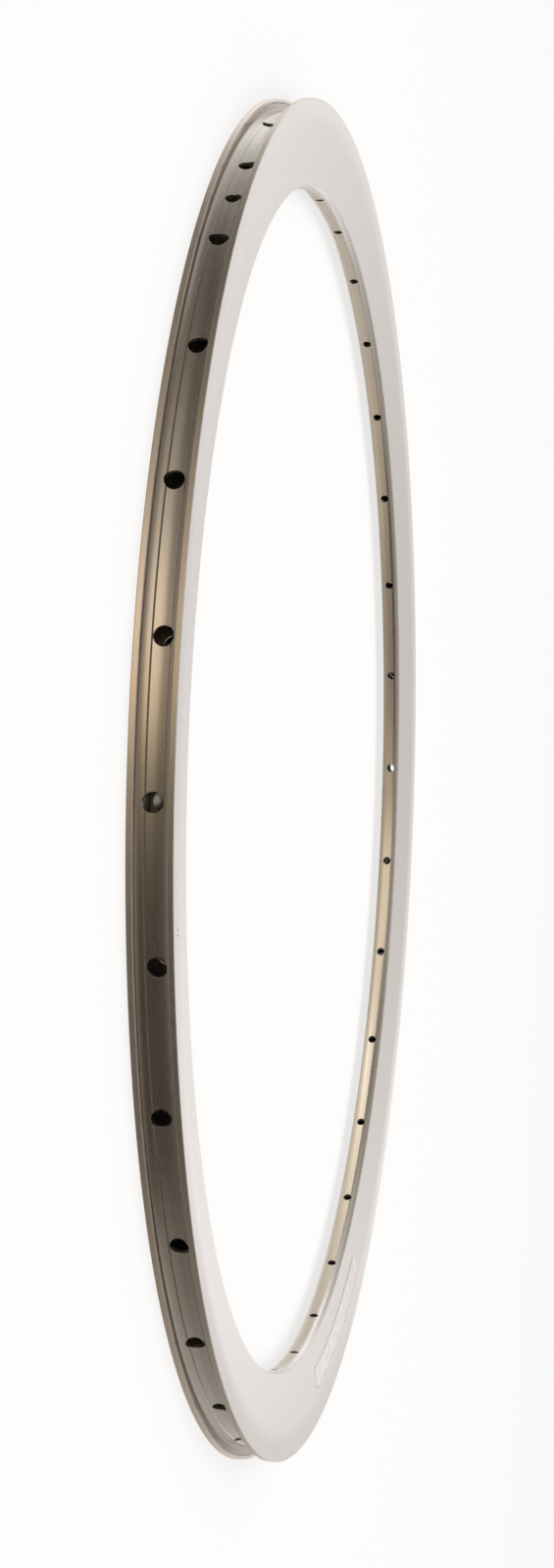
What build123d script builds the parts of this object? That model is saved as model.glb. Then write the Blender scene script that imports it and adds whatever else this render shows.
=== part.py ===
"""Deep V-section, double-wall bicycle rim with a hooked tyre channel, drilled for spokes and a valve.

Millimetres. The wheel axis is Z, the rim's middle plane is Z = 0 and the valve hole is on +X.
"""

import os
from math import asin, atan2, cos, degrees, sin

from build123d import *

# Sizes that the tyre, the brake pads and the wheel are chosen by
bead_seat_diameter = 622.0
rim_width = 18.0
rim_depth = 40.2
flange_height = 6.2
brake_track_height = 9.7

# Flanges: bevelled tips, with hooks that hold the tyre's beads
flange_tip_width = 2.55
flange_outer_bevel = 0.7
flange_inner_bevel = 0.5
hook_height = 1.7
hook_slope_height = 0.6
hook_undercut = 0.85

# Tyre channel: two bead seats that slope inward, a small step and a well
seat_drop = 0.3
seat_step_height = 0.95
seat_step_run = 0.9
well_width = 5.9

# Tapered flanks and the spoke bed between them, with its sloping shoulders
bed_width = 9.5
bed_flat_width = 5.2
bed_shoulder_height = 1.65

# Walls round the hollow chamber
tyre_bed_wall = 1.35
track_wall = 1.3
flank_wall = 1.0
bed_wall = 2.0

# Drilling: each spoke has a nipple hole in its bed and an access hole outside it
spoke_count = 32
nipple_hole_diameter = 4.3
access_hole_diameter = 7.8
access_hole_stagger = 0.7
valve_hole_diameter = 6.5

# Distances from the wheel axis
seat = bead_seat_diameter / 2
flange_tip = seat + flange_height
hook_foot = flange_tip - hook_height
hook_root = hook_foot - hook_slope_height
seat_edge = seat - seat_drop
well = seat_edge - seat_step_height
track_foot = flange_tip - brake_track_height
bed = flange_tip - rim_depth
bed_edge = bed + bed_shoulder_height
chamber_floor = bed + bed_wall
chamber_roof = well - tyre_bed_wall

# Distances from the middle plane
half_width = rim_width / 2
half_hook_gap = half_width - flange_tip_width
half_channel = half_hook_gap + hook_undercut
half_well = well_width / 2
half_step = half_well + seat_step_run
half_bed = bed_width / 2

# Outer face of the flank, which tapers from the brake track to the spoke bed
flank_slope = (half_width - half_bed) / (track_foot - bed_edge)
flank_inset = flank_wall / cos(atan2(half_width - half_bed, track_foot - bed_edge))


def flank_half_width(distance):
    """Half the rim's width at a distance from the wheel axis, outside the spoke bed."""
    return min(half_width, half_bed + (distance - bed_edge) * flank_slope)


half_floor = flank_half_width(chamber_floor) - flank_inset
half_roof = flank_half_width(chamber_roof) - track_wall

# Drills for one wall run half-way across the chamber or as far clear of the rim
drill_reach = (chamber_roof - chamber_floor) / 2
hole_pitch = 360 / spoke_count
access_lean = atan2(access_hole_stagger, well)


def turned(vector, angle):
    """The vector turned about the wheel axis."""
    return Vector(vector).rotate(Axis.Z, angle)


def drill(angle, lean, distance):
    """Plane at a distance from the wheel's centre that faces straight out, leaning to one side of the rim."""
    outward = turned((cos(lean), 0, sin(lean)), angle)
    return Plane(origin=outward * distance, z_dir=outward)


def drilled_wall(distance, half_span):
    """Wall across the section: a shallow arc about the wheel's centre, so that holes meet it squarely."""
    angle = degrees(asin(half_span / distance))
    return CenterArc((0, 0), distance, -angle, 2 * angle)


# The section is drawn half-way between two spokes: X is the distance from the axis, Y from the middle plane
section_plane = Plane(
    origin=(0, 0, 0),
    x_dir=turned((1, 0, 0), hole_pitch),
    z_dir=turned((0, -1, 0), hole_pitch),
)
spoke_angles = [(index + 0.5) * hole_pitch for index in range(spoke_count)]
spoke_leans = [access_lean if index % 2 else -access_lean for index in range(spoke_count)]

with BuildPart() as rim:
    with BuildSketch(section_plane):
        with BuildLine():
            spoke_bed = drilled_wall(bed, bed_flat_width / 2)
            well_floor = drilled_wall(well, half_well)
            side = Polyline(
                spoke_bed @ 1,
                (bed_edge, half_bed),
                (track_foot, half_width),
                (flange_tip - flange_outer_bevel, half_width),
                (flange_tip, half_width - flange_outer_bevel),
                (flange_tip, half_hook_gap + flange_inner_bevel),
                (flange_tip - flange_inner_bevel, half_hook_gap),
                (hook_foot, half_hook_gap),
                (hook_root, half_channel),
                (seat, half_channel),
                (seat_edge, half_step),
                well_floor @ 1,
            )
            mirror(side, about=Plane.XZ)
        make_face()
        with BuildLine():
            floor = drilled_wall(chamber_floor, half_floor)
            roof = drilled_wall(chamber_roof, half_roof)
            chamber_side = Line(floor @ 1, roof @ 1)
            mirror(chamber_side, about=Plane.XZ)
        make_face(mode=Mode.SUBTRACT)
    revolve(axis=Axis.Z)

    # Nipple holes in the middle of the spoke bed, access holes in the tyre bed to alternate sides of them
    with Locations(*[drill(angle, 0, bed + drill_reach) for angle in spoke_angles]):
        Hole(nipple_hole_diameter / 2, 2 * drill_reach)
    with Locations(*[drill(angle, lean, well + drill_reach) for angle, lean in zip(spoke_angles, spoke_leans)]):
        Hole(access_hole_diameter / 2, 2 * drill_reach)

    # The valve hole goes through both walls
    with Locations(drill(0, 0, well + drill_reach)):
        Hole(valve_hole_diameter / 2, well - bed + 2 * drill_reach)

rim.part.label = "rim"
os.makedirs("parts", exist_ok=True)
export_step(rim.part, "parts/rim.step")
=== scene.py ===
"""Double-wall bicycle rim lying on a pale studio floor, seen almost edge-on.

Metres, in the CAD model's frame: the wheel axis is Z and the valve hole is on +X. The sizes of the drilling, the section
and the film are in millimetres, until their meshes are made.
"""

import bpy
import numpy as np
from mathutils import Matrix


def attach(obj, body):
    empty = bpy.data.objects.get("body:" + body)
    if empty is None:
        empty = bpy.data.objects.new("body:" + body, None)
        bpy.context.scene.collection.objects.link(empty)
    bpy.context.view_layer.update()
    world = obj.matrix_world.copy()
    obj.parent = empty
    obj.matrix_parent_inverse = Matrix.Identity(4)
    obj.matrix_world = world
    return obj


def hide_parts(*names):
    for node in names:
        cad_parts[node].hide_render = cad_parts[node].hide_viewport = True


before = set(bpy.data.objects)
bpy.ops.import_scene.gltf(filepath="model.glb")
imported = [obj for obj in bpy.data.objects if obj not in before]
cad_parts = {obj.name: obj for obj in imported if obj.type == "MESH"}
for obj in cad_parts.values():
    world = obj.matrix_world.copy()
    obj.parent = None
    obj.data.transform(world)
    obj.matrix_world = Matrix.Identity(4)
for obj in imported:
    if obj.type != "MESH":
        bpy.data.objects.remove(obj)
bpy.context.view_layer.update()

scene = bpy.context.scene
scene.view_settings.view_transform = "Standard"

# Drilling, as in the part's source, with the edges of the holes rounded off
nipple_hole_radius = 2.15
access_hole_radius = 3.9
access_hole_stagger = 0.7
web_hole_stagger = 0.66
valve_hole_radius = 3.25
deburr = 0.15
deburr_steps = 3

# The hoop is worked out in equal cells: a spoke hole in every second one, the valve hole in the first
cell_count = 64
cell_turn = 2 * np.pi / cell_count
hole_columns = 14
side_columns = 2
plain_columns = 4

# Ends of the flank's straight line: distance from the axis and height over the middle plane
bed_edge = 278.65, 4.75
track_foot = 307.50, 9.00
flank_slope = (track_foot[1] - bed_edge[1]) / (track_foot[0] - bed_edge[0])
flank_offset = bed_edge[1] - bed_edge[0] * flank_slope

# Half of the outer section, from the middle of the spoke bed round a flange to just past the middle of the well.
# Each corner is its distance from the axis, its height over the middle plane, its radius and its number of steps.
spoke_bed = [
    (277.00, 0.00, 0, 0),
    (277.00, 2.60, 5.0, 3),
]
flank_and_flange = [
    (*bed_edge, 0.8, 3),
    (*track_foot, 55.0, 4),
    (317.14, 9.00, 0.4, 4),
    (316.98, 6.45, 0.35, 3),
    (315.50, 6.45, 0.25, 2),
    (314.90, 7.30, 0.35, 2),
    (311.75, 7.30, 0.7, 4),
]
tyre_bed = [
    (311.22, 6.20, 0, 0),
    (310.85, 4.90, 0, 0),
    (310.62, 3.85, 0.16, 2),
    (310.08, 3.30, 0.18, 2),
    (309.84, 1.90, 0, 0),
    (309.67, 0.70, 0, 0),
    (309.65, 0.00, 0, 0),
    (309.67, -0.70, 0, 0),
]

# Half of the inner chamber, from the middle of its floor round one side to just past the middle of the web over it
chamber_floor = [
    (279.00, 0.00, 0, 0),
    (279.00, 3.79, 0.8, 2),
]
inner_side = [
    (292.20, 5.55, 0.6, 2),
]
web_underside = [
    (292.20, 4.75, 0, 0),
    (292.20, 0.66, 0, 0),
    (292.20, 0.00, 0, 0),
    (292.20, -0.66, 0, 0),
]

# Half of the outer chamber, from just past the middle of the web to just past the middle of the roof
web_top = [
    (293.20, -0.66, 0, 0),
    (293.20, 0.00, 0, 0),
    (293.20, 0.66, 0, 0),
    (293.20, 5.68, 0.6, 2),
]
outer_side = [
    (308.40, 7.70, 0.8, 2),
]
chamber_roof = [
    (308.40, 4.90, 0, 0),
    (308.40, 0.70, 0, 0),
    (308.40, 0.00, 0, 0),
    (308.40, -0.70, 0, 0),
]

# Strip of film on the upper flank, with its place round the axis in degrees
film_distance = 296.3
film_azimuth = 156.7
film_half_length = 61.5
film_half_width = 5.6
film_end_radius = 3.0
film_lift = 0.06
film_thickness = 0.05
film_steps = 120
film_columns = 8

# Where the metal's finish changes, and where painted shade goes, in metres. A band is its middle and its reach to
# either side.
chamber_band = 0.2938, 0.0149
chamber_depth = 0.0005
under_hook_band = 0.3132, 0.0022
under_hook_start, under_hook_full, under_hook_end = 0.0065, 0.0071, 0.0085
step_foot_band = 0.3104, 0.0008
step_foot_height = -0.0034, 0.0002
tip_start, tip_full = 0.3158, 0.3164
taper_depth = 0.0004
track_height = 0.0088

# Small dark specks on the upper brake track, in metres
track_specks = [(0.15981, 0.26711, 0.009), (0.15812, 0.26826, 0.009)]

# Finish of the metal: the share that is bare metal and what it loses in places, then its roughness and what adds to it
bare_metal = 0.95
lost_in_chamber = 0.15
lost_on_tips = 0.04
# Less bare metal on the lower tip lets its painted highlight show
lost_more_on_lower_tip = 0.05
lost_by_brushing = 0.27
smoothest = 0.235
roughened_by_cloud = 0.05
roughened_by_lines = 0.03
roughened_by_wear = 0.04
roughness_in_chamber = 0.36

# Colours of the metal where it isn't polished as the rest is, and of the painted shade in its recesses
pressed_metal = 0.72, 0.68, 0.63, 1
painted_recess_shade_colour = 0.52, 0.47, 0.42, 1
upper_tip_metal = 0.83, 0.765, 0.69, 1
# The lower tip's colour is the upper's made brighter: a painted highlight
lower_tip_painted_highlight = 0.98, 0.895, 0.81, 1

# Direction from the rim to the camera on the floor, in degrees
camera_azimuth = 48.87

# Room that the metal mirrors. Each light has colours round the room, with the camera at 0.5 and the picture's foot at
# 0.75, and strengths with height, from 0 straight below through 0.5 on the level to 1 straight above.
white_cove = [
    (0.000, (1.11, 1.075, 1.08)),
    (0.008, (1.05, 1.016, 1.02)),
    (0.030, (1.20, 1.159, 1.165)),
    (0.050, (1.14, 1.100, 1.10)),
    (0.085, (0.0, 0.0, 0.0)),
    (0.915, (0.0, 0.0, 0.0)),
    (0.948, (0.61, 0.589, 0.59)),
    (0.962, (0.85, 0.820, 0.82)),
    (0.977, (1.40, 1.355, 1.36)),
    (1.000, (1.11, 1.075, 1.08)),
], [
    (0.44, 0.92),
    (0.50, 0.86),
    (0.57, 0.69),
    (0.62, 0.725),
    (0.72, 0.60),
]
low_sweep = [
    (0.030, (0.0, 0.0, 0.0)),
    (0.075, (1.05, 1.02, 0.99)),
    (0.115, (1.66, 1.62, 1.58)),
    (0.165, (0.56, 0.53, 0.49)),
    (0.235, (0.06, 0.055, 0.05)),
    (0.340, (0.0, 0.0, 0.0)),
    (0.660, (0.02, 0.015, 0.012)),
    (0.740, (0.20, 0.17, 0.14)),
    (0.860, (0.48, 0.445, 0.41)),
    (0.920, (1.00, 0.97, 0.94)),
    (0.965, (0.20, 0.20, 0.20)),
    (0.990, (0.0, 0.0, 0.0)),
], [
    (0.20, 0.45),
    (0.42, 0.65),
    (0.52, 1.0),
    (0.57, 0.85),
    (0.63, 0.22),
    (0.68, 0.06),
]
upper_wall = [
    (0.03, (0.0, 0.0, 0.0)),
    (0.08, (0.50, 0.48, 0.46)),
    (0.17, (0.48, 0.45, 0.42)),
    (0.24, (0.40, 0.37, 0.33)),
    (0.31, (0.0, 0.0, 0.0)),
    (0.69, (0.0, 0.0, 0.0)),
    (0.76, (0.34, 0.315, 0.285)),
    (0.84, (0.43, 0.41, 0.385)),
    (0.91, (0.48, 0.46, 0.44)),
    (0.97, (0.0, 0.0, 0.0)),
], [
    (0.56, 0.0),
    (0.63, 0.9),
    (0.66, 1.0),
]
lit_patch = [
    (0.23, (0.0, 0.0, 0.0)),
    (0.30, (0.10, 0.085, 0.065)),
    (0.37, (0.45, 0.385, 0.30)),
    (0.43, (1.25, 1.01, 0.76)),
    (0.46, (1.15, 0.89, 0.56)),
    (0.50, (0.20, 0.155, 0.10)),
    (0.545, (0.02, 0.015, 0.01)),
    (0.60, (0.0, 0.0, 0.0)),
], [
    (0.16, 0.06),
    (0.22, 0.18),
    (0.27, 0.34),
    (0.40, 0.62),
    (0.52, 0.80),
    (0.585, 1.0),
    (0.65, 0.6),
    (0.72, 0.12),
]
dim_room = 0.034, 0.025, 0.016, 1
ceiling = 0.30, 0.255, 0.205, 1
zenith = 0.88, 0.87, 0.86, 1
underfoot = 0.32, 0.28, 0.23, 1

# Colours along the warm card, half a turn from the picture's foot round behind the rim to its head
card_middle = [
    (0.000, (0.62, 0.56, 0.48)),
    (0.139, (0.62, 0.55, 0.455)),
    (0.204, (0.74, 0.64, 0.51)),
    (0.254, (1.05, 0.88, 0.66)),
    (0.319, (1.45, 1.25, 1.00)),
    (0.377, (1.02, 0.85, 0.62)),
    (0.449, (0.88, 0.72, 0.50)),
    (0.500, (0.50, 0.39, 0.265)),
    (0.558, (0.29, 0.215, 0.138)),
    (0.616, (0.33, 0.25, 0.175)),
    (0.688, (0.50, 0.39, 0.265)),
    (0.825, (0.57, 0.49, 0.41)),
    (1.000, (0.60, 0.53, 0.46)),
]
card_rim_edge = [
    (0.05, (0.80, 0.74, 0.67)),
    (0.14, (0.66, 0.585, 0.49)),
    (0.28, (0.62, 0.555, 0.46)),
    (0.36, (0.47, 0.41, 0.32)),
    (0.45, (0.36, 0.31, 0.24)),
    (0.60, (0.35, 0.305, 0.235)),
    (0.72, (0.52, 0.46, 0.375)),
    (0.86, (0.56, 0.49, 0.42)),
    (0.95, (0.60, 0.54, 0.47)),
]
card_distances = 0.150, 0.262, 0.2785
card_steps = 60
card_height = -0.0088

# Studio floor, which rises to a cove some way from the rim
floor_height = -0.009
floor_rings = 0.0, 0.5, 1.5, 3.0
floor_rise_start = 4.0
floor_rise = 0.07
floor_end = 12.0
floor_rise_steps = 16
floor_columns = 96


class Section:
    """Half a section as rows of distance, height and normal, with the rows of its two drilled walls."""

    def __init__(self, inner_wall, side, outer_wall, facing):
        """Round the corners of three joined lines.

        At a corner, an arc of the given radius touches both lines, and its normal turns evenly from one line to the
        other. The normals are on the left of the way along the lines, or on the right where facing is minus one.
        """
        corners = inner_wall + side + outer_wall
        spot = np.array([corner[:2] for corner in corners])
        run = np.diff(spot, axis=0)
        run /= np.linalg.norm(run, axis=1)[:, None]
        left = np.column_stack([-run[:, 1], run[:, 0]])
        rows = []
        for index, (_, _, radius, steps) in enumerate(corners):
            before, after = left[max(index - 1, 0)], left[min(index, len(left) - 1)]
            turn = np.arctan2(before[0] * after[1] - before[1] * after[0], before @ after)
            share = np.linspace(0, 1, steps + 1)[:, None] if steps else np.array([[0.5]])
            angle = np.arctan2(before[1], before[0]) + turn * share
            normal = np.hstack([np.cos(angle), np.sin(angle)])
            centre = spot[index] + np.sign(turn) * radius * (before + after) / (1 + before @ after)
            rows.append(np.hstack([centre - np.sign(turn) * radius * normal, facing * normal]))
        counts = np.cumsum([len(row) for row in rows])
        self.rows = np.vstack(rows)
        self.inner = self.rows[: counts[len(inner_wall) - 1]]
        self.outer = self.rows[counts[len(inner_wall) + len(side) - 1]:][::-1]


def on_wall(wall, height):
    """Distance and normal at a height on a drilled wall, even between its rows."""
    return [np.interp(height, wall[:, 1], wall[:, column]) for column in (0, 2, 3)]


outer = Section(spoke_bed, flank_and_flange, tyre_bed, 1)
inner_chamber = Section(chamber_floor, inner_side, web_underside, -1)
outer_chamber = Section(web_top, outer_side, chamber_roof, -1)

# Columns of a cell: sine and cosine of an even angle round its hole, and the share of the way on to the cell's edge
round_hole = np.linspace(-np.pi / 2, np.pi / 2, hole_columns + 1)
beyond = np.arange(1, side_columns + 1) / side_columns
drilled = (
    np.concatenate([-np.ones(side_columns), np.sin(round_hole), np.ones(side_columns)]),
    np.concatenate([np.zeros(side_columns + 1), np.cos(round_hole[1:-1]), np.zeros(side_columns + 1)]),
    np.concatenate([-beyond[::-1], np.zeros(hole_columns + 1), beyond]),
)
undrilled = np.zeros(plain_columns + 1), np.zeros(plain_columns + 1), np.linspace(-1, 1, plain_columns + 1)


def half_skin(section, inner_hole, outer_hole, columns):
    """Half of a cell's skin: turn, distance, height and normal on a grid of rows by columns.

    Each wall's hole is its radius and the height of its middle. Rows follow the section between the two middles and
    columns fan out from the axis. At a hole the columns are spaced as the hole's radius times a sine. A row that
    would cross the hole is lifted to its edge, the radius times the cosine above its middle.
    """
    across, edge, onward = columns
    heights = section.rows[:, 1]
    first = np.flatnonzero(np.isclose(heights, inner_hole[1]))[0]
    last = np.flatnonzero(np.isclose(heights, outer_hole[1]))[-1]
    index = np.arange(first, last + 1)
    ends = len(section.inner) - 1, len(section.rows) - len(section.outer)
    radius = np.interp(index, ends, [inner_hole[0], outer_hole[0]])[:, None]
    rows = section.rows[index].T
    distance, height, out, up = (np.repeat(values[:, None], len(across), axis=1) for values in rows)
    for here, wall, middle in (
        (index <= ends[0], section.inner, inner_hole[1]),
        (index >= ends[1], section.outer, outer_hole[1]),
    ):
        height[here] = np.maximum(height[here], middle + radius[here] * edge)
        distance[here], out[here], up[here] = on_wall(wall, height[here])
    turn = np.arcsin(radius * across / distance)
    turn += (np.sign(onward) * cell_turn / 2 - turn) * np.abs(onward)
    return turn, distance, height, out, np.zeros_like(out), up


def half_hole(near_wall, far_wall, radius, middle, into):
    """Half of a hole through a wall, with its near edge rounded off, on a grid of rows by columns.

    The first rows go down a quarter circle of the deburring radius, out from the hole's own radius. The last is on
    the wall's far side.
    """
    across, edge, _ = (values[side_columns:-side_columns] for values in drilled)
    dip = np.linspace(0, np.pi / 2, deburr_steps + 1)[:, None]
    ring = radius + deburr * (1 - np.sin(dip))
    height = middle + ring * edge
    distance, out, up = on_wall(near_wall, height)
    distance += into * deburr * (1 - np.cos(dip))
    out, side, up = out * np.cos(dip), -np.sin(dip) * across, up * np.cos(dip) - np.sin(dip) * edge
    turn = np.arcsin(ring * across / distance)
    end_distance = on_wall(far_wall, height[-1:])[0]
    end_turn = np.arcsin(radius * across / end_distance)
    return (
        np.vstack([turn, end_turn]),
        np.vstack([distance, end_distance]),
        np.vstack([height, height[-1:]]),
        np.vstack([out, out[-1:]]),
        np.vstack([side, side[-1:]]),
        np.vstack([up, up[-1:]]),
    )


def mirrored(grid):
    """The same grid on the other side of the middle plane."""
    turn, distance, height, out, side, up = grid
    return turn, distance, -height, out, side, -up


def half_cell(nipple_radius, access_radius, lean, web_lean):
    """Grids of the upper half of a drilled cell: its skin, its two chambers and its three holes."""
    return [
        half_skin(outer, (nipple_radius + deburr, 0), (access_radius + deburr, lean), drilled),
        half_skin(inner_chamber, (nipple_radius, 0), (access_radius, web_lean), drilled),
        half_skin(outer_chamber, (access_radius + deburr, web_lean), (access_radius, lean), drilled),
        half_hole(outer.inner, inner_chamber.inner, nipple_radius, 0, 1),
        half_hole(outer_chamber.inner, inner_chamber.outer, access_radius, web_lean, -1),
        half_hole(outer.outer, outer_chamber.outer, access_radius, lean, -1),
    ]


def drilled_cell(nipple_radius, access_radius, stagger, web_stagger):
    """Grids of both halves of a drilled cell, whose outer holes stand to one side of the middle plane."""
    upper = half_cell(nipple_radius, access_radius, stagger, web_stagger)
    lower = half_cell(nipple_radius, access_radius, -stagger, -web_stagger)
    return upper + [mirrored(grid) for grid in lower]


def plain_cell():
    """Grids of both halves of a cell with no holes."""
    upper = [half_skin(section, (0, 0), (0, 0), undrilled) for section in (outer, inner_chamber, outer_chamber)]
    return upper + [mirrored(grid) for grid in upper]


def grid_faces(index):
    """Four-sided faces between the rows and columns of point numbers."""
    corners = [index[..., :-1, :-1], index[..., :-1, 1:], index[..., 1:, 1:], index[..., 1:, :-1]]
    return np.stack(corners, axis=-1).reshape(-1, 4)


def around(grid, places):
    """Points, normals and four-sided faces of a grid, repeated at each angle round the axis.

    A point is its distance along the direction of its turn, and its height. Its normal has a share outward, a share
    sideways and a share upward there.
    """
    turn, distance, height, out, side, up = (values[None] for values in grid)
    angle = places[:, None, None] + turn
    cosine, sine = np.cos(angle), np.sin(angle)
    level = np.ones_like(angle)
    points = np.stack([distance * cosine, distance * sine, height * level], axis=-1)
    normals = np.stack([out * cosine - side * sine, out * sine + side * cosine, up * level], axis=-1)
    index = np.arange(angle.size).reshape(angle.shape)
    return points.reshape(-1, 3), normals.reshape(-1, 3), grid_faces(index)


def welded_mesh(name, sheets):
    """One mesh from several sheets of points, normals and faces, with shared points joined and faces turned outwards.

    A face is turned round where its own normal points against its corners' normals. A face with two corners in one
    place becomes a triangle, and one with no area is left out.
    """
    start = np.cumsum([0] + [len(points) for points, _, _ in sheets])
    points = np.vstack([points for points, _, _ in sheets])
    normals = np.vstack([normals for _, normals, _ in sheets])
    faces = np.vstack([faces + first for (_, _, faces), first in zip(sheets, start)])
    normals /= np.linalg.norm(normals, axis=1)[:, None]

    one, two, three, four = (points[faces[:, corner]] for corner in range(4))
    facing = np.einsum("ij,ij->i", np.cross(three - one, four - two), normals[faces].sum(axis=1))
    faces[facing < 0] = faces[facing < 0, ::-1]

    _, kept, joined = np.unique(np.round(points, 4), axis=0, return_index=True, return_inverse=True)
    corners = joined.reshape(-1)[faces]
    repeated = corners == np.roll(corners, -1, axis=1)
    four_sided = ~repeated.any(axis=1)
    three_sided = repeated.sum(axis=1) == 1
    skip = np.argmax(repeated[three_sided], axis=1)[:, None]
    left = (skip + np.arange(1, 4)) % 4
    triangles = np.take_along_axis(corners[three_sided], left, axis=1)
    triangle_points = np.take_along_axis(faces[three_sided], left, axis=1)

    mesh = bpy.data.meshes.new(name)
    mesh.from_pydata(points[kept] / 1000, [], corners[four_sided].tolist() + triangles.tolist())
    mesh.shade_smooth()
    corner_normals = [normals[faces[four_sided].ravel()], normals[triangle_points.ravel()]]
    mesh.normals_split_custom_set(np.vstack(corner_normals))
    return mesh


def sheet_mesh(name, points, uv_name, uv):
    """Smooth mesh of one grid of points in metres, with a UV layer of one pair of values for each point."""
    index = np.arange(points[..., 0].size).reshape(points.shape[:2])
    mesh = bpy.data.meshes.new(name)
    mesh.from_pydata(points.reshape(-1, 3), [], grid_faces(index).tolist())
    mesh.shade_smooth()
    layer = mesh.uv_layers.new(name=uv_name)
    corner = np.empty(len(mesh.loops), dtype=np.int32)
    mesh.loops.foreach_get("vertex_index", corner)
    layer.data.foreach_set("uv", uv.reshape(-1, 2)[corner].ravel())
    return mesh


def new_piece(name, mesh, material):
    """A piece of the object at the origin, which rides with the rim."""
    piece = bpy.data.objects.new(name, mesh)
    scene.collection.objects.link(piece)
    mesh.materials.append(material)
    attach(piece, "root")
    return piece


def greys(stops):
    """Stops of place and colour from stops of place and strength."""
    return [(place, (strength, strength, strength)) for place, strength in stops]


class Nodes:
    """Short ways to add and join the nodes of a material or the world."""

    def __init__(self, owner):
        owner.use_nodes = True
        self.tree = owner.node_tree
        self.tree.nodes.clear()

    def add(self, kind, **settings):
        """A node of one kind. Settings that name an input set or join it, and the others are its own properties."""
        node = self.tree.nodes.new(kind)
        inputs = {}
        for key, value in settings.items():
            if key.startswith("in_"):
                inputs[key[3:]] = value
            else:
                setattr(node, key, value)
        for key, value in inputs.items():
            socket = node.inputs[int(key)] if key.isdigit() else node.inputs[key.replace("_", " ")]
            if isinstance(value, bpy.types.NodeSocket):
                self.tree.links.new(value, socket)
            else:
                socket.default_value = value
        return node

    def math(self, operation, first, second=0.0, third=0.0):
        """The result of one sum."""
        return self.add("ShaderNodeMath", operation=operation, in_0=first, in_1=second, in_2=third).outputs[0]

    def measure(self, operation, first, second=(0.0, 0.0, 0.0)):
        """The length, distance or dot product of vectors."""
        return self.add("ShaderNodeVectorMath", operation=operation, in_0=first, in_1=second).outputs["Value"]

    def mix(self, share, first, second, blend="MIX"):
        """Two colours mixed by a share of the second."""
        node = self.add("ShaderNodeMix", data_type="RGBA", blend_type=blend, in_0=share, in_6=first, in_7=second)
        return node.outputs[2]

    def tint(self, first, second):
        """One colour times another."""
        return self.mix(1.0, first, second, "MULTIPLY")

    def fade(self, value, start, end, interpolation="LINEAR"):
        """Nought to one, as a value goes from a start to an end."""
        return self.add(
            "ShaderNodeMapRange",
            interpolation_type=interpolation,
            in_Value=value,
            in_From_Min=start,
            in_From_Max=end,
        ).outputs[0]

    def noise(self, place, scale, detail, roughness):
        """A noise from nought to one."""
        return self.add(
            "ShaderNodeTexNoise", in_Vector=place, in_Scale=scale, in_Detail=detail, in_Roughness=roughness,
        ).outputs["Fac"]

    def ramp(self, factor, stops, interpolation="LINEAR"):
        """A colour that changes through stops of place and colour."""
        node = self.add("ShaderNodeValToRGB", in_Fac=factor)
        node.color_ramp.interpolation = interpolation
        while len(node.color_ramp.elements) < len(stops):
            node.color_ramp.elements.new(0.5)
        for element, (place, colour) in zip(node.color_ramp.elements, stops):
            element.position = place
            element.color = (*colour, 1)
        return node.outputs["Color"]


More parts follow.
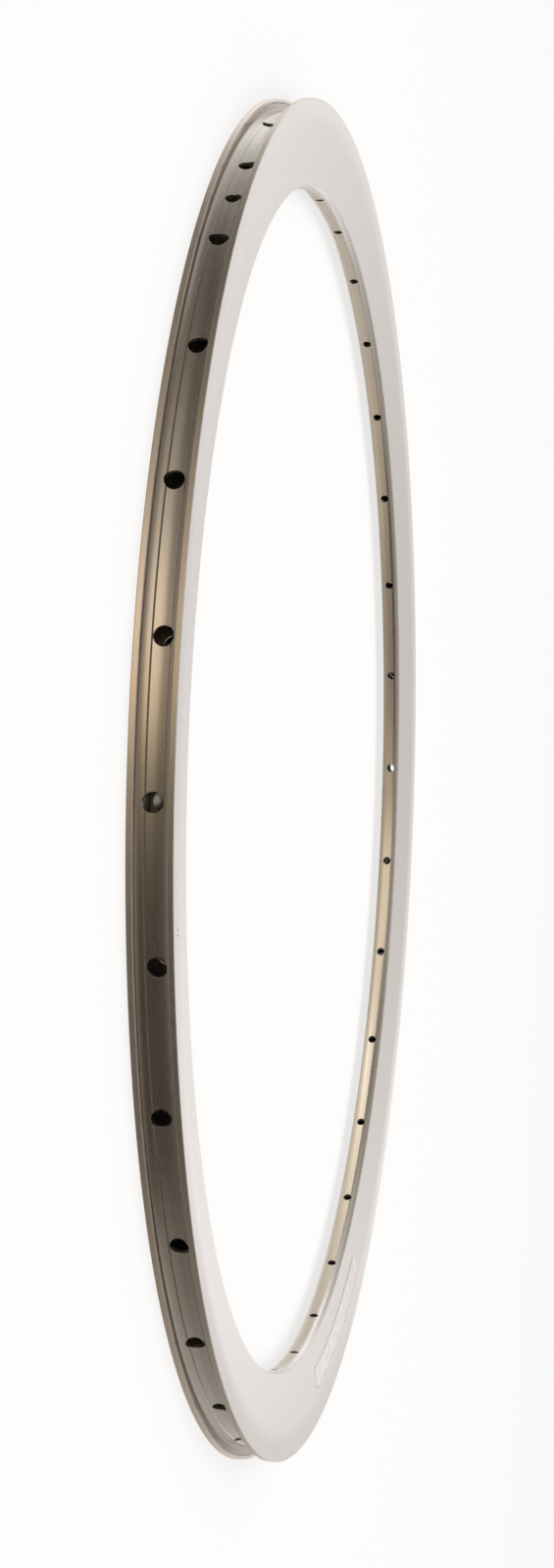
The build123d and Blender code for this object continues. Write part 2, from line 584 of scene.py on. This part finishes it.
def satin_aluminium():
    """Silver anodised aluminium: a satin grain, with fine lines round the hoop from drawing and polishing. Painted
    shade darkens the walls under the hooks and the foot of the lower step, and a painted highlight brightens the lower
    flange tip.
    """
    material = bpy.data.materials.new("satin_anodised_aluminium")
    nodes = Nodes(material)
    place = nodes.add("ShaderNodeTexCoord").outputs["Object"]
    part = nodes.add("ShaderNodeSeparateXYZ", in_Vector=place).outputs
    flat = nodes.add("ShaderNodeCombineXYZ", in_X=part["X"], in_Y=part["Y"]).outputs[0]
    distance = nodes.measure("LENGTH", flat)
    height = nodes.math("ABSOLUTE", part["Z"])

    # Lines close together across the metal, which change slowly along the hoop
    lines_scale, along_scale = 3200.0, 6.0
    along = nodes.math("ADD", part["X"], nodes.math("MULTIPLY", part["Y"], 0.7))
    lines_place = nodes.add(
        "ShaderNodeCombineXYZ",
        in_X=nodes.math("MULTIPLY", distance, lines_scale),
        in_Y=nodes.math("MULTIPLY", part["Z"], lines_scale),
        in_Z=nodes.math("MULTIPLY", along, along_scale),
    ).outputs[0]
    lines = nodes.noise(lines_place, 1.0, 2.0, 0.6)
    grain = nodes.noise(place, 2600.0, 2.0, 0.6)
    cloud = nodes.noise(place, 22.0, 3.0, 0.55)

    # Polished metal, with its specks, which are dark to half a millimetre from their middles
    colour = nodes.ramp(cloud, [(0.3, (0.775, 0.762, 0.742)), (0.7, (0.805, 0.795, 0.778))])
    for speck in track_specks:
        clear_of = nodes.math("MULTIPLY", nodes.measure("DISTANCE", place, speck), 1000.0)
        colour = nodes.tint(colour, nodes.ramp(clear_of, greys([(0.50, 0.10), (0.70, 1.0)])))

    # Inside the chamber the metal is as it was pressed, dull and a little darker
    flank = nodes.math("MULTIPLY_ADD", distance, flank_slope, flank_offset / 1000)
    depth = nodes.math("SUBTRACT", flank, height)
    buried = nodes.math("GREATER_THAN", depth, chamber_depth)
    inside = nodes.math("MULTIPLY", buried, nodes.math("COMPARE", distance, *chamber_band))
    colour = nodes.mix(inside, colour, pressed_metal)

    # The wall under each hook and the foot of the lower step are darker: painted shade in the undercut and the step's
    # corner
    beside = nodes.fade(height, under_hook_start, under_hook_full)
    under_hook = nodes.math("MULTIPLY", beside, nodes.math("LESS_THAN", height, under_hook_end))
    undercut = nodes.math("MULTIPLY", under_hook, nodes.math("COMPARE", distance, *under_hook_band))
    on_step = nodes.math("COMPARE", part["Z"], *step_foot_height)
    step_foot = nodes.math("MULTIPLY", on_step, nodes.math("COMPARE", distance, *step_foot_band))
    # Painted shade: these masked places take the darker colour
    painted_recess_shade = nodes.math("MAXIMUM", undercut, nodes.math("MULTIPLY", step_foot, 0.8))
    colour = nodes.mix(painted_recess_shade, colour, painted_recess_shade_colour)

    # The flanks and brake tracks are brushed to a whiter finish than the rest
    on_taper = nodes.math("LESS_THAN", depth, taper_depth)
    on_track = nodes.math("GREATER_THAN", height, track_height)
    brushed = nodes.math("MAXIMUM", on_taper, on_track)

    # The tips of the flanges are worn a little duller, and the lower one is painted brighter, a painted highlight
    tip = nodes.fade(distance, tip_start, tip_full)
    on_lower = nodes.math("LESS_THAN", part["Z"], 0.0)
    tip_face = nodes.math("MULTIPLY", tip, nodes.math("SUBTRACT", 1.0, on_track))
    colour = nodes.mix(tip_face, colour, nodes.mix(on_lower, upper_tip_metal, lower_tip_painted_highlight))

    # Share of bare metal, and roughness
    dulled = nodes.math("MULTIPLY_ADD", on_lower, -lost_more_on_lower_tip, -lost_on_tips)
    metal = nodes.math("MULTIPLY_ADD", inside, -lost_in_chamber, bare_metal)
    metal = nodes.math("MULTIPLY_ADD", tip, dulled, metal)
    metal = nodes.math("MULTIPLY_ADD", brushed, -lost_by_brushing, metal)
    roughness = nodes.math("MULTIPLY_ADD", cloud, roughened_by_cloud, smoothest)
    roughness = nodes.math("MULTIPLY_ADD", lines, roughened_by_lines, roughness)
    roughness = nodes.math("MULTIPLY_ADD", tip, roughened_by_wear, roughness)
    roughness = nodes.math("MAXIMUM", roughness, nodes.math("MULTIPLY", inside, roughness_in_chamber))

    relief = nodes.math("ADD", nodes.math("MULTIPLY", lines, 0.7), nodes.math("MULTIPLY", grain, 0.5))
    bump = nodes.add("ShaderNodeBump", in_Strength=0.02, in_Distance=0.00003, in_Height=relief).outputs["Normal"]
    shader = nodes.add(
        "ShaderNodeBsdfPrincipled",
        in_Base_Color=colour,
        in_Metallic=metal,
        in_Roughness=roughness,
        in_Normal=bump,
    )
    nodes.add("ShaderNodeOutputMaterial", in_Surface=shader.outputs[0])
    return material


def hazy_film():
    """Thin film on the metal: a milky haze streaked along it, a pinkish end, and painted shadow darkening its inner
    edge and lower end.
    """
    material = bpy.data.materials.new("hazy_film")
    nodes = Nodes(material)
    place = nodes.add("ShaderNodeTexCoord").outputs["UV"]
    part = nodes.add("ShaderNodeSeparateXYZ", in_Vector=place).outputs
    stretched = nodes.add("ShaderNodeMapping", in_Vector=place, in_Scale=(9.0, 6.0, 1.0)).outputs[0]
    streaks = nodes.noise(stretched, 1.0, 4.0, 0.7)
    haze = nodes.ramp(streaks, [(0.40, (0.83, 0.828, 0.825)), (0.62, (0.98, 0.985, 0.99))])
    # Along the strip: painted shadow darkens the lower end, and the far end is pinkish
    along = nodes.ramp(part["X"], [
        (0.000, (0.80, 0.80, 0.80)),
        (0.004, (0.80, 0.80, 0.80)),
        (0.008, (1.0, 1.0, 1.0)),
        (0.860, (1.0, 1.0, 1.0)),
        (0.930, (1.0, 0.88, 0.89)),
        (0.990, (1.0, 1.0, 1.0)),
    ])
    # Across the strip: painted shadow darkens the inner edge, and a little the outer edge
    across = nodes.ramp(part["Y"], greys([(0.000, 0.78), (0.030, 0.82), (0.050, 1.0), (0.970, 1.0), (1.000, 0.93)]))
    colour = nodes.tint(nodes.tint(haze, along), across)
    shader = nodes.add("ShaderNodeBsdfPrincipled", in_Base_Color=colour, in_Metallic=0.5, in_Roughness=0.34)
    nodes.add("ShaderNodeOutputMaterial", in_Surface=shader.outputs[0])
    return material


def film_sheet():
    """Strip of film laid on the upper flank, with rounded ends.

    Along and across run from minus one to one. The strip follows the hoop, and near each end its half width falls as
    a circle's does. Its height is that of the flank's slope at the same distance from the axis, and a small lift.
    """
    along = np.sin(np.linspace(-np.pi / 2, np.pi / 2, film_steps + 1))[:, None]
    across = np.linspace(-1, 1, film_columns + 1)[None, :]
    past = np.maximum(np.abs(along) * film_half_length - (film_half_length - film_end_radius), 0)
    half = film_half_width - film_end_radius + np.sqrt(np.maximum(film_end_radius ** 2 - past ** 2, 0))
    distance = film_distance + half * across
    angle = np.radians(film_azimuth) + along * film_half_length / film_distance + 0 * across
    height = flank_slope * distance + flank_offset + film_lift
    points = np.stack([distance * np.cos(angle), distance * np.sin(angle), height], axis=-1) / 1000
    spread = np.stack([along * np.ones_like(across), across * np.ones_like(along)], axis=-1)
    return sheet_mesh("film_strip", points, "along_strip", 0.5 + 0.5 * spread)


def pale_floor():
    """Matt white paper of the studio floor."""
    material = bpy.data.materials.new("white_paper")
    nodes = Nodes(material)
    paper = nodes.add("ShaderNodeBsdfPrincipled", in_Base_Color=(0.93, 0.93, 0.93, 1), in_Roughness=0.9)
    paper.inputs["Specular IOR Level"].default_value = 0.0
    white = nodes.add("ShaderNodeEmission", in_Color=(1.0, 1.0, 1.0, 1), in_Strength=1.0)
    path = nodes.add("ShaderNodeLightPath").outputs
    seen = nodes.math("MAXIMUM", path["Is Camera Ray"], path["Is Transmission Ray"])
    share = nodes.math("MULTIPLY", seen, 0.75)
    mixed = nodes.add("ShaderNodeMixShader", in_0=share, in_1=paper.outputs[0], in_2=white.outputs[0])
    nodes.add("ShaderNodeOutputMaterial", in_Surface=mixed.outputs[0])
    return material


def studio_floor():
    """Round sheet of floor under the rim: level near it, then rising as the square of the distance, to a cove."""
    risen = np.linspace(floor_rise_start, floor_end, floor_rise_steps + 1)
    distance = np.concatenate([floor_rings, risen])[:, None]
    angle = np.linspace(0, 2 * np.pi, floor_columns + 1)[None, :-1]
    height = floor_height + floor_rise * np.maximum(distance - floor_rise_start, 0) ** 2
    points = np.stack([distance * np.cos(angle), distance * np.sin(angle), height + 0 * angle], axis=-1)
    index = np.arange(points[..., 0].size).reshape(len(distance), -1)
    onward = np.roll(index, -1, axis=1)
    faces = np.stack([index[1:-1], index[2:], onward[2:], onward[1:-1]], axis=-1).reshape(-1, 4)
    middle = np.stack([index[0], index[1], onward[1]], axis=-1)
    mesh = bpy.data.meshes.new("studio_floor")
    mesh.from_pydata(points.reshape(-1, 3), [], faces.tolist() + middle.tolist())
    mesh.shade_smooth()
    mesh.materials.append(pale_floor())
    floor = bpy.data.objects.new("studio_floor", mesh)
    scene.collection.objects.link(floor)
    floor.visible_glossy = False


def studio_world():
    """Room that the metal mirrors.

    A white cove stands behind the rim, with a pale sweep low on either side of it and dimmer walls above. On the
    camera's side the room is dim and warm, with one lit patch. The ceiling is whitest straight overhead.
    """
    world = bpy.data.worlds.new("studio")
    scene.world = world
    nodes = Nodes(world)
    way = nodes.add("ShaderNodeTexCoord").outputs["Generated"]
    to_camera, to_picture_foot = np.radians([camera_azimuth, camera_azimuth + 90])
    front = nodes.measure("DOT_PRODUCT", way, (np.cos(to_camera), np.sin(to_camera), 0.0))
    side = nodes.measure("DOT_PRODUCT", way, (np.cos(to_picture_foot), np.sin(to_picture_foot), 0.0))
    height = nodes.add("ShaderNodeSeparateXYZ", in_Vector=way).outputs["Z"]
    bearing = nodes.math("MULTIPLY_ADD", nodes.math("ARCTAN2", side, front), 0.5 / np.pi, 0.5)
    rise = nodes.math("MULTIPLY_ADD", height, 0.5, 0.5)
    colour = dim_room
    for round_the_room, with_height in (white_cove, low_sweep, upper_wall, lit_patch):
        light = nodes.tint(nodes.ramp(bearing, round_the_room, "EASE"), nodes.ramp(rise, greys(with_height)))
        colour = nodes.mix(1.0, colour, light, "ADD")
    for start, end, paint in ((0.32, 0.68, ceiling), (0.94, 0.99, zenith), (-0.50, -0.90, underfoot)):
        colour = nodes.mix(nodes.fade(height, start, end, "SMOOTHSTEP"), colour, paint)
    light = nodes.add("ShaderNodeBackground", in_Color=colour, in_Strength=1.0)
    nodes.add("ShaderNodeOutputWorld", in_Surface=light.outputs[0])


def warm_glow():
    """Glow of the warm card, which changes along it and towards its edge at the rim."""
    material = bpy.data.materials.new("warm_card")
    nodes = Nodes(material)
    uv = nodes.add("ShaderNodeTexCoord").outputs["UV"]
    place = nodes.add("ShaderNodeSeparateXYZ", in_Vector=uv).outputs
    middle = nodes.ramp(place["X"], card_middle, "EASE")
    rim_edge = nodes.ramp(place["X"], card_rim_edge, "EASE")
    glow = nodes.add("ShaderNodeEmission", in_Color=nodes.mix(place["Y"], middle, rim_edge), in_Strength=1.0)
    nodes.add("ShaderNodeOutputMaterial", in_Surface=glow.outputs[0])
    return material


def warm_card():
    """Card on the floor inside the hoop, which only the spoke bed across from the camera mirrors.

    It is half of a flat ring, from 90 to 270 degrees round from the camera, and its colour changes along it.
    """
    along = np.linspace(0, 1, card_steps + 1)[:, None]
    distance = np.array([card_distances])
    to_edge = np.array([[0.0, 0.0, 1.0]])
    angle = np.radians(camera_azimuth + 90 + 180 * along)
    height = card_height + 0 * angle * distance
    points = np.stack([distance * np.cos(angle), distance * np.sin(angle), height], axis=-1)
    spread = np.stack([along + 0 * distance, 0 * along + to_edge], axis=-1)
    mesh = sheet_mesh("warm_card", points, "along_card", spread)
    mesh.materials.append(warm_glow())
    card = bpy.data.objects.new("warm_card", mesh)
    scene.collection.objects.link(card)
    card.visible_camera = card.visible_diffuse = card.visible_shadow = card.visible_transmission = False


def overhead_softbox():
    """Large soft lamp over the floor. It is out of sight of the metal, which mirrors the studio instead."""
    lamp = bpy.data.lights.new("overhead_softbox", "AREA")
    lamp.shape = "DISK"
    lamp.size = 5.0
    lamp.energy = 104.0
    lamp.color = (0.985, 0.99, 1.0)
    holder = bpy.data.objects.new("overhead_softbox", lamp)
    holder.location = (0.0, 0.0, 3.0)
    holder.visible_glossy = False
    scene.collection.objects.link(holder)


def portrait_camera():
    """Camera from the photograph's side of the rim, turned so that the hoop stands upright in the picture."""
    camera = bpy.data.cameras.new("camera")
    camera.lens = 58.56
    camera.sensor_width = 36.0
    camera.clip_end = 100.0
    holder = bpy.data.objects.new("camera", camera)
    holder.location = (0.79418, 0.90912, 0.21643)
    holder.rotation_euler = np.radians([-8.3072, -79.0549, -122.7802])
    scene.collection.objects.link(holder)
    scene.camera = holder


portrait_camera()
studio_floor()
studio_world()
overhead_softbox()
warm_card()

# Spoke holes lean to the lower and the upper side in turn
low_holes = drilled_cell(nipple_hole_radius, access_hole_radius, -access_hole_stagger, -web_hole_stagger)
high_holes = drilled_cell(nipple_hole_radius, access_hole_radius, access_hole_stagger, web_hole_stagger)
valve_hole = drilled_cell(valve_hole_radius, valve_hole_radius, 0, 0)
cell_places = np.arange(cell_count) * cell_turn
sheets = [
    around(grid, places)
    for grids, places in (
        (low_holes, cell_places[1::4]),
        (high_holes, cell_places[3::4]),
        (valve_hole, cell_places[:1]),
        (plain_cell(), cell_places[2::2]),
    )
    for grid in grids
]
rim = new_piece("rim_hoop", welded_mesh("rim_hoop", sheets), satin_aluminium())
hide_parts("rim")

film = new_piece("film_strip", film_sheet(), hazy_film())
thick = film.modifiers.new("thickness", "SOLIDIFY")
thick.thickness = film_thickness / 1000
thick.offset = -1.0
